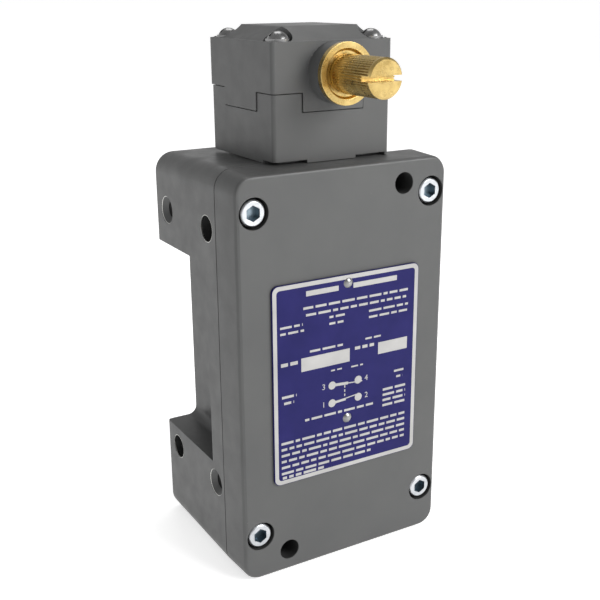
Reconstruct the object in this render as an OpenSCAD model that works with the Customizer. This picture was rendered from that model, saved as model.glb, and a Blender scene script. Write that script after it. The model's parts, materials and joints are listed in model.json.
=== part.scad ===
// Limit switch with a rotary head: cast enclosure, brass shaft, cam, plunger and contact block.
// Millimetres. +X right, +Y to the back, +Z up. The origin is the centre of the conduit entry.

/* [Enclosure] */
// Width across the cover
body_width = 73.2; // [70:0.1:88]
// Height of the enclosure without the head
body_height = 128; // [126:0.5:154]
// Depth from the cover's front face to the back face
body_depth = 56.6; // [54:0.1:68]
// Distance from the cover's front face back to the conduit axis
conduit_setback = 33.2; // [33:0.1:34]
// Thickness of the cover
cover_thickness = 12.4; // [11:0.1:13]
// Radius of the enclosure's outline corners
corner_radius = 6; // [4:0.1:7]
// Draft of the housing's top and right side at the back face
housing_draft = 1.2; // [0.5:0.1:2]
// Inset of the cover's sides at the front face
cover_draft = 0.5; // [0.3:0.1:0.8]
// Size of the rounded edge around the cover's front face
edge_bevel = 1.2; // [0.6:0.1:1.6]
// Thickness of the housing's front flange
flange_thickness = 7.7; // [6:0.1:8]
// Step from the cover's edge in to the flange
flange_inset = 2; // [1.5:0.1:3]
// Right side of the housing behind the flange, measured from the right edge of the cover
right_step = 9.6; // [8:0.1:10]
// Depth of the rear notch in the left side
notch_depth = 10.7; // [9:0.1:11]
// Width of the inner cavity
cavity_width = 42.8; // [42:0.1:44]
// Thickness of the back wall
back_wall = 6; // [5:0.1:8]

/* [Mounting holes] */
// Radius of the conduit entry
conduit_radius = 9.2; // [8.5:0.1:9.4]
// Spacing of the side holes, front to back
side_pitch_depth = 29.5; // [29:0.1:30]
// Spacing of the side holes, bottom to top
side_pitch_height = 82.55; // [80:0.05:84]
// Height of the lower side holes
side_low = 27.2; // [26:0.1:29]
// Radius of the plain side holes
side_plain_radius = 4.1; // [3:0.1:4.2]
// Radius of the tapped side holes
side_tapped_radius = 2.6; // [2:0.1:3]
// Depth of the tapped side holes
side_tapped_depth = 18; // [10:0.5:20]
// Radius of the countersink at the tapped side holes
side_countersink = 4.5; // [3.5:0.1:4.8]
// Radius of the front mounting holes
front_hole_radius = 3.3; // [2.5:0.1:3.5]
// Distance of the front mounting holes from the middle
front_hole_offset = 20.4; // [19:0.1:21]
// Distance of the front mounting holes from the top and bottom
front_hole_inset = 7.7; // [7:0.1:8]

/* [Cover and label] */
// Distance of the cover screws from the sides
cover_screw_side = 6.2; // [6:0.1:7]
// Distance of the upper cover screws from the top
cover_screw_top = 11.1; // [10:0.1:11.5]
// Height of the lower cover screws
cover_screw_low = 15.4; // [14:0.1:16]
// Radius of the cover screw heads
cover_head_radius = 3.9; // [3.5:0.1:4.1]
// Radius of the cover screw counterbores
counterbore_radius = 4.65; // [4.3:0.05:4.8]
// Width of the nameplate
plate_width = 51.9; // [46:0.1:54]
// Height of the nameplate
plate_height = 63.6; // [56:0.1:66]
// Thickness of the nameplate
plate_thickness = 0.8; // [0.5:0.1:1.2]
// Height of the nameplate's middle
plate_middle = 63.3; // [61:0.1:66]

/* [Head] */
// Width of the head cap, square
head_width = 40.2; // [39.6:0.1:42]
// Distance from the cover's front face back to the head's middle
head_setback = 27.5; // [27:0.1:28]
// Height of the head base
base_height = 19.7; // [19:0.1:22]
// Height of the head up to its shoulder
shoulder_height = 34.05; // [33.5:0.05:38]
// Height of the raised top above the shoulder
crown_height = 3.85; // [2:0.05:5]
// Half width of the tabs between cap and base
tab_half_width = 10.15; // [9.5:0.05:10.4]
// Depth of the tabs
tab_depth = 5.4; // [4:0.1:6]
// Distance of the cap screws from the head's middle
cap_screw_offset = 15.6; // [15.2:0.1:15.8]

/* [Shaft and cam] */
// Height of the shaft axis above the enclosure
shaft_rise = 25.2; // [24.8:0.1:25.6]
// Radius of the operating shaft
shaft_radius = 5.5; // [4.8:0.05:5.8]
// Length of the shaft in front of the cover's front face
shaft_reach = 18.7; // [12:0.1:26]
// Radius of the bushing flange
flange_radius = 8.75; // [8:0.05:9]
// Radial running clearance of the shaft and the plunger
running_clearance = 0.05; // [0.02:0.01:0.09]
// Radius of the cam where it lets the plunger rest
cam_radius = 6.2; // [5.8:0.1:6.4]
// Travel of the plunger over a quarter turn
plunger_travel = 2.6; // [1.5:0.1:2.8]
// Radius of the plunger
plunger_radius = 1.9; // [1.6:0.05:2.2]

/* [Contact block] */
// Height of the contact block
block_height = 48; // [47:0.5:54]
// Width of the contact block across the terminals
block_width = 36; // [35.4:0.1:38]
// Thickness of the contact strips
strip_thickness = 0.8; // [0.6:0.1:1]
// Radius of the contact tips
tip_radius = 1.5; // [1:0.1:1.8]
// Free gap between closed contact tips
tip_gap = 0.1; // [0.05:0.05:0.2]

/* [Hidden] */
$fn = 64;
hull_facets = 32;
slab = 0.01;
past = 1;
fit = 0.05;
line_gap = 0.3;
line_depth = 1;
face_front = -conduit_setback;
face_part = face_front + cover_thickness;
face_back = face_front + body_depth;
body_left = -body_width / 2;
body_right = body_width / 2;
rear_right = body_right - right_step;
flange_back = face_part + flange_thickness;
notch_wall = body_left + notch_depth;
notch_radius = 3;
back_bevel = 0.8;
side_high = side_low + side_pitch_height;
notch_low = side_low + 6.8;
notch_high = side_high - 11.25;
cavity_low = side_low + 6.8;
cavity_high = side_high - 6.75;
cavity_back = face_back - back_wall;
cavity_radius = 4;
cover_screw_x = body_width / 2 - cover_screw_side;
cover_screw_high = body_height - cover_screw_top;
cover_screw_radius = 2.4;
cover_thread_radius = 2.1;
cover_thread_depth = 13;
counterbore_depth = 5.4;
boss_radius = 4.6;
boss_floor = 2;
cover_recess_depth = 6;
cover_recess_inset = 2;
bevel_middle_inset = 0.4;
bevel_middle_depth = 0.3;
screw_head_setback = 0.4;
screw_head_chamfer = 0.5;
cover_hex_radius = 2.35;
cover_hex_depth = 3;
groove_gap = 1.6;
groove_width = 2.4;
groove_depth = 1.2;
plate_shift = 0.25;
plate_radius = 2;
rivet_high = plate_middle + 29.2;
rivet_low = plate_middle - 14.8;
rivet_radius = 1;
rivet_length = 3.8;
rivet_head_radius = 1.6;
rivet_head_height = 0.7;
head_y = face_front + head_setback;
cap_half = head_width / 2;
base_inset = 0.3;
base_half = cap_half - base_inset;
head_edge = 1.2;
head_floor = 6;
part_z = body_height + base_height;
tab_z = part_z - tab_depth;
shoulder_z = body_height + shoulder_height;
crown_z = shoulder_z + crown_height;
crown_low_half = cap_half - 0.8;
crown_high_half = crown_low_half - 6.7;
base_cavity = 11.6;
base_slot_height = 0.9;
base_slot_depth = 3;
base_slot_side = 6.3;
base_slot_left = 8.7;
base_slot_right = 7.9;
base_slot_end = 18.4;
cap_cavity = 11;
roof_gap = 0.8;
axis_z = body_height + shaft_rise;
head_front = head_y - cap_half;
head_back = head_y + cap_half;
cap_screw_radius = 2.1;
cap_screw_end = 5;
cap_thread_end = 4;
cap_head_radius = 3.6;
cap_rim_height = 0.7;
cap_dome_radius = 3.15;
cap_dome_height = 2.1;
spot_radius = 4.1;
screw_slot = 1;
base_screw_x = 7.9;
base_screw_radius = 1.95;
base_screw_depth = 12;
base_head_radius = 3.15;
base_head_height = 3;
base_hex_radius = 1.7;
base_hex_depth = 2;
seal_inner = 12;
seal_outer = 14.4;
bushing_radius = 7.5;
bushing_flange = 1.8;
bushing_recess_depth = 1.2;
bushing_recess_wide = 1.5;
bushing_recess_narrow = 0.9;
cap_boss_radius = 8.6;
shaft_end = face_front - shaft_reach;
bushing_end = head_y - cap_cavity;
neck_radius = shaft_radius - 0.3;
neck_start = face_front - 0.4;
journal_radius = neck_radius - 0.7;
journal_start = bushing_end - 0.5;
bearing_radius = 6.5;
bearing_start = head_y + cap_cavity;
bearing_length = 6;
bearing_pocket = 6.3;
journal_end = bearing_start + bearing_length - 0.4;
slot_width = 1.6;
slot_depth = 4;
seal_y = bushing_end - 6;
seal_wire = 0.9;
ring_y = bushing_end + 0.3;
ring_thickness = 1;
ring_groove = journal_radius - 0.5;
ring_radius = 6.6;
ring_opening = ring_groove - 1.2;
shaft_chamfer = 0.5;
cam_width = 8;
cam_gap = 0.4;
cam_step = 5;
pin_radius = 1.25;
pin_length = 11;
pin_start = -6;
plunger_top = axis_z - cam_radius - cam_gap;
button_radius = 4;
button_height = 2;
guide_radius = 4.5;
guide_low = body_height - 4;
guide_high = body_height + 8;
well_radius = plunger_radius + running_clearance;
block_high = cavity_high - 6;
block_low = block_high - block_height;
plunger_low = block_high + 1.5;
block_back = head_y + 13.7;
core_half = 11;
core_front = head_y - 7.8;
block_cover_thickness = 2.5;
wing_front = head_y + 3.7;
chamber_half = 9.3;
chamber_high = block_high - 4;
chamber_low = block_low + 6;
chamber_back = head_y + 8.2;
block_screw_x = 14.5;
block_screw_z = block_low + 25;
block_screw_radius = 2;
block_screw_depth = 10;
post_radius = 4.2;
terminal_x = 14.4;
terminal_high = block_screw_z + 12;
terminal_low = block_screw_z - 12;
terminal_half = 4.2;
terminal_thickness = 1;
terminal_outer = block_width / 2 - 0.4;
terminal_inner = 7.6;
tab_inner = 5.4;
tab_outer = 9;
tab_front = head_y - 3;
terminal_screw_radius = 1.7;
small_head_radius = 3.15;
small_head_height = 2;
tip_height = 0.8;
tip_x = 6.9;
bridge_half = 8.5;
bridge_half_depth = 2;
closed_tab_z = terminal_high;
closed_bridge_z = closed_tab_z - 2 * tip_height - tip_gap - strip_thickness;
open_tab_z = terminal_low - 0.8;
open_gap = plunger_travel + tip_gap;
open_bridge_z = open_tab_z + terminal_thickness + 2 * tip_height + open_gap;
carrier_half = 3.2;
carrier_half_depth = 3.5;
carrier_low = open_bridge_z - 3;
carrier_high = chamber_high - 2.5;
carrier_stem = 2.4;
carrier_stem_hole = 2.7;
carrier_stem_top = plunger_low - 0.3;
carrier_pin = 1.9;
carrier_pin_hole = 2.2;
carrier_pin_low = chamber_low - 2;
carrier_pin_room = 3.4;
block_cover_screw = 1.2;
block_cover_screw_head = 2;
block_cover_screw_head_height = 1.4;
block_cover_screw_length = 6.4;
block_cover_screw_places = [block_low + 2.5, block_high - 2];
block_screw_head_height = 3;
terminal_screw_length = 8;
plunger_spring_radius = 3.35;
plunger_spring_wire = 0.4;
carrier_spring_radius = 3;
carrier_spring_wire = 0.35;
spring_turns = 4;
spring_gap = 0.15;
ground_x = -14;
ground_z = cavity_low + 7;
ground_radius = 2;
ground_depth = 4;
ground_washer_radius = 4.2;
ground_washer_thickness = 0.8;
ground_head_radius = 3.8;
ground_head_height = 2.8;

cast_grey = [0.42, 0.42, 0.41];
zinc = [0.78, 0.79, 0.8];
brass = [0.8, 0.64, 0.3];
steel = [0.6, 0.61, 0.62];
rubber_black = [0.08, 0.08, 0.08];
label_blue = [0.13, 0.13, 0.42];
moulded_black = [0.1, 0.1, 0.1];
moulded_cream = [0.85, 0.8, 0.68];
silver = [0.85, 0.85, 0.83];
ground_green = [0.2, 0.45, 0.25];

// A rectangle with round corners, given by its sides
module round_rectangle(left, right, low, high, radius) {
  translate([left + radius, low])
    square([right - left - 2 * radius, high - low]);
  translate([left, low + radius])
    square([right - left, high - low - 2 * radius]);
  for (x = [left + radius, right - radius])
    for (y = [low + radius, high - radius])
      translate([x, y])
        circle(r = radius);
}

// A round-cornered plate upright in X and Z, from one depth to another
module upright_plate(left, right, low, high, radius, near, far) {
  translate([0, far, 0])
    rotate([90, 0, 0])
      linear_extrude(far - near)
        round_rectangle(left, right, low, high, radius);
}

// A cylinder along Y, from one depth to another
module bar(x, z, radius, near, far) {
  translate([x, near, z])
    rotate([-90, 0, 0])
      cylinder(r = radius, h = far - near);
}

// A box given by its lowest and highest corners
module box(low, high) {
  translate(low)
    cube(high - low);
}

// Thin discs at the four corners of an outline, for the hull of a drafted block
module corner_discs(left, right, low, high, radius, start) {
  for (x = [left + radius, right - radius])
    for (z = [low + radius, high - radius])
      translate([x, start, z])
        rotate([-90, 0, 0])
          cylinder(r = radius, h = slab, $fn = hull_facets);
}

// The cover's outline, drawn in by an inset
module cover_outline(inset, start) {
  radius = corner_radius - inset;
  corner_discs(body_left + inset, body_right - inset, inset, body_height - inset, radius, start);
}

// The places of the four cover screws
module at_cover_screws() {
  for (x = [-cover_screw_x, cover_screw_x])
    for (z = [cover_screw_low, cover_screw_high])
      translate([x, 0, z])
        children();
}

// The two front mounting holes, right through
module front_holes() {
  near = face_front - past;
  far = face_back + past;
  bar(front_hole_offset, body_height - front_hole_inset, front_hole_radius, near, far);
  bar(-front_hole_offset, front_hole_inset, front_hole_radius, near, far);
}

// A plain side hole right across the enclosure, through the flange too where they meet
module plain_side_hole(y, z) {
  translate([body_left - past, y, z])
    rotate([0, 90, 0])
      cylinder(r = side_plain_radius, h = body_width + 2 * past);
}

// A tapped side hole in the left face with its countersink
module tapped_side_hole(y, z) {
  translate([body_left, y, z])
    rotate([0, 90, 0]) {
      translate([0, 0, -past])
        cylinder(r = side_tapped_radius, h = side_tapped_depth + past);
      cylinder(r1 = side_countersink, r2 = side_tapped_radius, h = side_countersink - side_tapped_radius);
    }
}

// The outer block of the housing: its left side and bottom are flat, for mounting and standing
module housing_block() {
  right = rear_right - housing_draft;
  high = body_height - housing_draft;
  hull() {
    corner_discs(body_left, rear_right, 0, body_height, corner_radius, face_part);
    corner_discs(body_left, right, 0, high, corner_radius, face_back - back_bevel);
    corner_discs(body_left + back_bevel, right - back_bevel, back_bevel, high - back_bevel,
      corner_radius - back_bevel, face_back - slab);
  }
}

module housing() {
  color(cast_grey)
    difference() {
      union() {
        housing_block();
        upright_plate(body_left + flange_inset, body_right - flange_inset,
          flange_inset, body_height - flange_inset, corner_radius, face_part, flange_back);
        for (z = [cover_screw_low, cover_screw_high])
          bar(cover_screw_x, z, boss_radius, face_part, face_part + cover_thread_depth + boss_floor);
      }
      upright_plate(body_left - 2 * notch_radius, notch_wall, notch_low, notch_high, notch_radius,
        flange_back, face_back + past);
      difference() {
        upright_plate(-cavity_width / 2, cavity_width / 2, cavity_low, cavity_high, cavity_radius,
          face_part - past, cavity_back);
        for (x = [-block_screw_x, block_screw_x])
          bar(x, block_screw_z, post_radius, block_back, cavity_back + past);
      }
      for (x = [-block_screw_x, block_screw_x])
        bar(x, block_screw_z, block_screw_radius + fit,
          block_back - past, block_back + block_screw_depth + past);
      gasket_ring(groove_depth + past, face_part - past);
      translate([0, 0, -past])
        cylinder(r = conduit_radius, h = cavity_low + 2 * past);
      plain_side_hole(-side_pitch_depth / 2, side_high);
      plain_side_hole(side_pitch_depth / 2, side_low);
      tapped_side_hole(side_pitch_depth / 2, side_high);
      tapped_side_hole(-side_pitch_depth / 2, side_low);
      front_holes();
      at_cover_screws()
        bar(0, 0, cover_thread_radius + fit, face_part - past, face_part + cover_thread_depth);
      translate([0, head_y, cavity_high - past])
        cylinder(r = well_radius, h = body_height - cavity_high + 2 * past);
      translate([0, head_y, guide_low])
        cylinder(r = guide_radius + fit, h = body_height);
      for (x = [-base_screw_x, base_screw_x])
        translate([x, head_y, body_height - base_screw_depth - past])
          cylinder(r = base_screw_radius + fit, h = base_screw_depth + 2 * past);
      bar(ground_x, ground_z, ground_radius + fit, cavity_back - past, cavity_back + ground_depth + fit);
    }
}

// The ring of the cover gasket, of a given depth
module gasket_ring(depth, near) {
  outer = groove_gap + groove_width;
  difference() {
    upright_plate(-cavity_width / 2 - outer, cavity_width / 2 + outer,
      cavity_low - outer, cavity_high + outer, cavity_radius + outer, near, near + depth);
    upright_plate(-cavity_width / 2 - groove_gap, cavity_width / 2 + groove_gap, cavity_low - groove_gap,
      cavity_high + groove_gap, cavity_radius + groove_gap, near - past, near + depth + past);
  }
}

module cover_gasket() {
  color(rubber_black)
    gasket_ring(groove_depth, face_part);
}

module cover() {
  color(cast_grey)
    difference() {
      hull() {
        cover_outline(cover_draft + edge_bevel, face_front);
        cover_outline(cover_draft + bevel_middle_inset * edge_bevel,
          face_front + bevel_middle_depth * edge_bevel);
        cover_outline(cover_draft, face_front + edge_bevel);
        cover_outline(0, face_part - slab);
      }
      difference() {
        upright_plate(body_left - past, body_right + past, -past, body_height + past, corner_radius,
          face_part - line_gap, face_part + past);
        upright_plate(body_left + line_depth, body_right - line_depth, line_depth, body_height - line_depth,
          corner_radius, face_part - 2 * line_gap, face_part + 2 * past);
      }
      upright_plate(cover_recess_inset - cavity_width / 2, cavity_width / 2 - cover_recess_inset,
        cavity_low + cover_recess_inset, cavity_high - cover_recess_inset, cavity_radius,
        face_part - cover_recess_depth, face_part + past);
      front_holes();
      at_cover_screws() {
        bar(0, 0, counterbore_radius, face_front - past, face_front + counterbore_depth);
        bar(0, 0, cover_screw_radius + line_gap, face_front - past, face_part + past);
      }
      for (z = [rivet_low, rivet_high])
        bar(plate_shift, z, rivet_radius + fit, face_front - past, face_front + rivet_length + fit);
    }
}

module cover_screws() {
  color(zinc)
    at_cover_screws()
      difference() {
        union() {
          bar(0, 0, cover_head_radius, face_front + screw_head_setback + screw_head_chamfer,
            face_front + counterbore_depth);
          translate([0, face_front + screw_head_setback, 0])
            rotate([-90, 0, 0])
              cylinder(r1 = cover_head_radius - screw_head_chamfer, r2 = cover_head_radius,
                h = screw_head_chamfer);
          bar(0, 0, cover_thread_radius, face_front + counterbore_depth - fit,
            face_part + cover_thread_depth - past);
        }
        translate([0, face_front, 0])
          rotate([-90, 0, 0])
            rotate([0, 0, 30])
              cylinder(r = cover_hex_radius, h = cover_hex_depth, $fn = 6);
      }
}

module nameplate() {
  color(label_blue)
    difference() {
      upright_plate(plate_shift - plate_width / 2, plate_shift + plate_width / 2,
        plate_middle - plate_height / 2, plate_middle + plate_height / 2, plate_radius,
        face_front - plate_thickness, face_front);
      for (z = [rivet_low, rivet_high])
        bar(plate_shift, z, rivet_radius + fit, face_front - plate_thickness - past, face_front + past);
    }
}

module nameplate_rivets() {
  color(steel)
    for (z = [rivet_low, rivet_high]) {
      bar(plate_shift, z, rivet_radius, face_front - plate_thickness - fit, face_front + rivet_length);
      translate([plate_shift, face_front - plate_thickness, z])
        rotate([90, 0, 0])
          dome(rivet_head_radius, rivet_head_height);
    }
}

// A low dome standing on a plane, with its base radius and height
module dome(radius, height) {
  ball = (radius * radius + height * height) / (2 * height);
  intersection() {
    translate([0, 0, height - ball])
      sphere(r = ball);
    cylinder(r = radius + past, h = height + past);
  }
}

// A square prism with round upright edges, centred on the head
module head_prism(half, low, high) {
  translate([0, head_y, low])
    linear_extrude(high - low)
      round_rectangle(-half, half, -half, half, head_edge);
}

// A cross that runs out through the middle of all four faces
module head_cross(half, low, high) {
  reach = head_width;
  translate([-half, head_y - reach, low])
    cube([2 * half, 2 * reach, high - low]);
  translate([-reach, head_y - half, low])
    cube([2 * reach, 2 * half, high - low]);
}

// The places of the four cap screws
module at_cap_screws() {
  for (x = [-cap_screw_offset, cap_screw_offset])
    for (y = [-cap_screw_offset, cap_screw_offset])
      translate([x, head_y + y, 0])
        children();
}

// The shallow slots under the base at its front and back corners
module base_slots() {
  slot_low = body_height - past;
  slot_high = body_height + base_slot_height;
  edge = base_half + past;
  near = base_slot_depth - base_half;
  for (side = [-1, 1])
    translate([0, head_y, 0])
      rotate([0, 0, side < 0 ? 0 : 180]) {
        box([-edge, -edge, slot_low], [-base_slot_left, near, slot_high]);
        box([-edge, -edge, slot_low], [near, base_slot_side - base_half, slot_high]);
        box([base_slot_right, -edge, slot_low], [base_slot_end, near, slot_high]);
      }
}

module head_base() {
  color(cast_grey)
    difference() {
      head_prism(base_half, body_height, part_z);
      head_prism(base_cavity, body_height + head_floor, part_z + past);
      head_cross(tab_half_width + line_gap, tab_z, part_z + past);
      at_cap_screws()
        translate([0, 0, body_height + cap_thread_end])
          cylinder(r = cap_screw_radius + fit, h = base_height);
      for (x = [-base_screw_x, base_screw_x])
        translate([x, head_y, body_height - past])
          cylinder(r = base_screw_radius + line_gap, h = head_floor + 2 * past);
      translate([0, head_y, body_height - past])
        cylinder(r = guide_radius + fit, h = head_floor + 2 * past);
      translate([0, head_y, body_height - past])
        difference() {
          cylinder(r = seal_outer, h = groove_depth + past);
          cylinder(r = seal_inner, h = groove_depth + 2 * past);
        }
      base_slots();
    }
}

module head_gasket() {
  color(rubber_black)
    translate([0, head_y, body_height])
      difference() {
        cylinder(r = seal_outer, h = groove_depth);
        translate([0, 0, -past])
          cylinder(r = seal_inner, h = groove_depth + 2 * past);
      }
}

module head_base_screws() {
  seat = body_height + head_floor;
  color(zinc)
    for (x = [-base_screw_x, base_screw_x])
      translate([x, head_y, 0])
        difference() {
          union() {
            translate([0, 0, body_height - base_screw_depth])
              cylinder(r = base_screw_radius, h = base_screw_depth + head_floor + fit);
            translate([0, 0, seat])
              cylinder(r = base_head_radius, h = base_head_height);
          }
          translate([0, 0, seat + base_head_height - base_hex_depth])
            cylinder(r = base_hex_radius, h = base_head_height, $fn = 6);
        }
}

// The raised top of the cap, narrowing upwards
module crown() {
  translate([0, head_y, shoulder_z - fit])
    linear_extrude(crown_height + fit, scale = crown_high_half / crown_low_half)
      square(2 * crown_low_half, center = true);
}

// A thin step around the outside of the cap, which draws the joint line
module cap_joint_line(low) {
  difference() {
    head_prism(cap_half + past, low - past, low + line_gap);
    head_prism(cap_half - line_depth, low - 2 * past, low + past);
  }
}

module head_cap() {
  color(cast_grey)
    difference() {
      union() {
        difference() {
          head_prism(cap_half, part_z, shoulder_z);
          cap_joint_line(part_z);
        }
        intersection() {
          head_prism(cap_half, tab_z, part_z + past);
          head_cross(tab_half_width, tab_z, part_z + past);
        }
        crown();
        bar(0, axis_z, cap_boss_radius, face_front + bushing_flange, head_front + past);
      }
      cap_joint_line(tab_z);
      head_prism(cap_cavity, tab_z - past, axis_z + cam_radius + roof_gap);
      at_cap_screws() {
        translate([0, 0, part_z - past])
          cylinder(r = cap_screw_radius + line_gap, h = shoulder_height);
        translate([0, 0, shoulder_z])
          cylinder(r = spot_radius, h = crown_height + past);
      }
      bar(0, axis_z, bushing_radius + fit, face_front, bushing_end + past);
      bar(0, axis_z, bearing_radius + fit, bearing_start - past, bearing_start + bearing_pocket);
    }
}

module head_cap_screws() {
  color(zinc)
    at_cap_screws()
      difference() {
        union() {
          translate([0, 0, body_height + cap_screw_end])
            cylinder(r = cap_screw_radius, h = shoulder_height - cap_screw_end + fit);
          translate([0, 0, shoulder_z])
            cylinder(r = cap_head_radius, h = cap_rim_height);
          translate([0, 0, shoulder_z + cap_rim_height - fit])
            dome(cap_dome_radius, cap_dome_height + fit);
        }
        box([-cap_head_radius - past, -screw_slot / 2, shoulder_z + 2 * cap_rim_height],
          [cap_head_radius + past, screw_slot / 2, crown_z + cap_dome_height]);
      }
}

module shaft_bushing() {
  color(brass)
    difference() {
      union() {
        bar(0, axis_z, flange_radius, face_front, face_front + bushing_flange);
        bar(0, axis_z, bushing_radius, face_front + bushing_flange - fit, bushing_end);
      }
      bar(0, axis_z, neck_radius + running_clearance, face_front - past, bushing_end + past);
      translate([0, face_front - fit, axis_z])
        rotate([-90, 0, 0])
          cylinder(r1 = shaft_radius + bushing_recess_wide, r2 = shaft_radius + bushing_recess_narrow,
            h = bushing_recess_depth);
    }
}

module rear_bearing() {
  color(brass)
    difference() {
      bar(0, axis_z, bearing_radius, bearing_start, bearing_start + bearing_length);
      bar(0, axis_z, journal_radius + running_clearance,
        bearing_start - past, bearing_start + bearing_length + past);
    }
}

module operating_shaft() {
  color(brass)
    difference() {
      union() {
        translate([0, shaft_end, axis_z])
          rotate([-90, 0, 0])
            cylinder(r1 = shaft_radius - shaft_chamfer, r2 = shaft_radius, h = shaft_chamfer);
        bar(0, axis_z, shaft_radius, shaft_end + shaft_chamfer, neck_start);
        bar(0, axis_z, neck_radius, neck_start - fit, journal_start);
        bar(0, axis_z, journal_radius, journal_start - fit, journal_end);
      }
      box([-shaft_radius - past, shaft_end - past, axis_z - slot_width / 2],
        [shaft_radius + past, shaft_end + slot_depth, axis_z + slot_width / 2]);
      shaft_groove(neck_radius - 2 * seal_wire, shaft_radius + past,
        seal_y - seal_wire - fit, seal_y + seal_wire + fit);
      shaft_groove(ring_groove, journal_radius + past, ring_y - fit, ring_y + ring_thickness + fit);
      cam_pin_space(pin_radius + fit, pin_length + 2 * fit, pin_start - fit);
    }
}

// A ring of space around the shaft, for cutting a groove
module shaft_groove(inner, outer, near, far) {
  difference() {
    bar(0, axis_z, outer, near, far);
    bar(0, axis_z, inner, near - past, far + past);
  }
}

// The space of the pin that crosses the cam and the shaft
module cam_pin_space(radius, length, start) {
  translate([start, head_y, axis_z])
    rotate([0, 90, 0])
      cylinder(r = radius, h = length);
}

module shaft_seal() {
  color(rubber_black)
    translate([0, seal_y, axis_z])
      rotate([90, 0, 0])
        rotate_extrude()
          translate([neck_radius - seal_wire, 0])
            circle(r = seal_wire);
}

module retaining_ring() {
  color(steel)
    difference() {
      bar(0, axis_z, ring_radius, ring_y, ring_y + ring_thickness);
      bar(0, axis_z, ring_groove + fit, ring_y - past, ring_y + ring_thickness + past);
      box([-ring_opening, ring_y - past, axis_z],
        [ring_opening, ring_y + ring_thickness + past, axis_z + 2 * ring_radius]);
    }
}

// Radius of the cam at an angle from straight down, turning towards +X
function cam_reach(angle) =
  angle < 0 ? cam_radius :
  angle < 90 ? cam_radius + plunger_travel * angle / 90 :
  angle < 110 ? cam_radius + plunger_travel :
  angle < 170 ? cam_radius + plunger_travel * (170 - angle) / 60 :
  cam_radius;

module cam() {
  outline = [for (angle = [-185 : cam_step : 170]) cam_reach(angle) * [sin(angle), -cos(angle)]];
  color(steel)
    difference() {
      translate([0, head_y + cam_width / 2, axis_z])
        rotate([90, 0, 0])
          linear_extrude(cam_width)
            polygon(outline);
      bar(0, axis_z, journal_radius + fit, head_y - cam_width, head_y + cam_width);
      cam_pin_space(pin_radius + fit, pin_length + 2 * past, pin_start - 2 * past);
    }
}

module cam_pin() {
  color(steel)
    cam_pin_space(pin_radius, pin_length, pin_start);
}

module plunger() {
  color(steel)
    translate([0, head_y, 0]) {
      translate([0, 0, plunger_low])
        cylinder(r = plunger_radius, h = plunger_top - plunger_low - fit);
      translate([0, 0, plunger_top - button_height])
        cylinder(r = button_radius, h = button_height);
    }
}

module plunger_guide() {
  color(brass)
    translate([0, head_y, guide_low])
      difference() {
        cylinder(r = guide_radius, h = guide_high - guide_low);
        translate([0, 0, -past])
          cylinder(r = plunger_radius + running_clearance, h = guide_high - guide_low + 2 * past);
      }
}

// A coil spring between two heights, with its mean radius and wire radius
module coil(low, high, radius, wire) {
  sides = 8;
  steps = 16 * spring_turns;
  rise = high - low - 2 * wire;
  points = [
    for (i = [0 : steps], j = [0 : sides - 1])
      let (turn = 360 * spring_turns * i / steps)
      let (around = 360 * j / sides, reach = radius + wire * cos(around))
        [reach * cos(turn), reach * sin(turn), low + wire + rise * i / steps + wire * sin(around)]
  ];
  near_halves = [
    for (i = [0 : steps - 1], j = [0 : sides - 1])
      [i * sides + j, (i + 1) * sides + j, i * sides + (j + 1) % sides]
  ];
  far_halves = [
    for (i = [0 : steps - 1], j = [0 : sides - 1])
      [i * sides + (j + 1) % sides, (i + 1) * sides + j, (i + 1) * sides + (j + 1) % sides]
  ];
  start_cap = [for (j = [0 : sides - 1]) j];
  end_cap = [for (j = [sides - 1 : -1 : 0]) steps * sides + j];
  translate([0, head_y, 0])
    polyhedron(points, concat(near_halves, far_halves, [start_cap, end_cap]));
}

module plunger_spring() {
  color(steel)
    coil(guide_high + spring_gap, plunger_top - button_height - spring_gap, plunger_spring_radius,
      plunger_spring_wire);
}

module contact_block() {
  half = block_width / 2;
  color(moulded_black)
    difference() {
      union() {
        box([-core_half, core_front, block_low], [core_half, block_back, block_high]);
        box([-half, wing_front, block_low], [half, block_back, block_high]);
      }
      box([-chamber_half, core_front - past, chamber_low], [chamber_half, chamber_back, chamber_high]);
      translate([0, head_y, chamber_high - past])
        cylinder(r = carrier_stem_hole, h = block_high - chamber_high + 2 * past);
      translate([0, head_y, carrier_pin_low - carrier_pin_room])
        cylinder(r = carrier_pin_hole, h = chamber_low - carrier_pin_low + carrier_pin_room + past);
      for (z = [terminal_low, terminal_high])
        box([-core_half - past, wing_front - terminal_thickness - fit, z - terminal_half - fit],
          [core_half + past, wing_front, z + terminal_half + fit]);
      for (x = [-terminal_x, terminal_x])
        for (z = [terminal_low, terminal_high])
          bar(x, z, terminal_screw_radius + fit, wing_front - past, wing_front + terminal_screw_length);
      for (x = [-block_screw_x, block_screw_x])
        bar(x, block_screw_z, block_screw_radius + line_gap, wing_front - past, block_back + past);
      for (z = block_cover_screw_places)
        bar(0, z, block_cover_screw + fit, core_front - past,
          core_front + block_cover_screw_length - block_cover_thickness + line_gap);
    }
}

module block_cover() {
  color(moulded_black)
    difference() {
      box([-core_half, core_front - block_cover_thickness, block_low], [core_half, core_front, block_high]);
      for (z = block_cover_screw_places)
        bar(0, z, block_cover_screw + line_gap, core_front - block_cover_thickness - past, core_front + past);
    }
}

// A slotted cheese-head screw pointing to the back, with its head on a given depth
module slotted_screw(x, z, seat, head_radius, head_height, radius, length) {
  difference() {
    union() {
      bar(x, z, head_radius, seat - head_height, seat);
      bar(x, z, radius, seat - fit, seat + length);
    }
    box([x - head_radius - past, seat - head_height - past, z - screw_slot / 2],
      [x + head_radius + past, seat - head_height / 2, z + screw_slot / 2]);
  }
}

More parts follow.
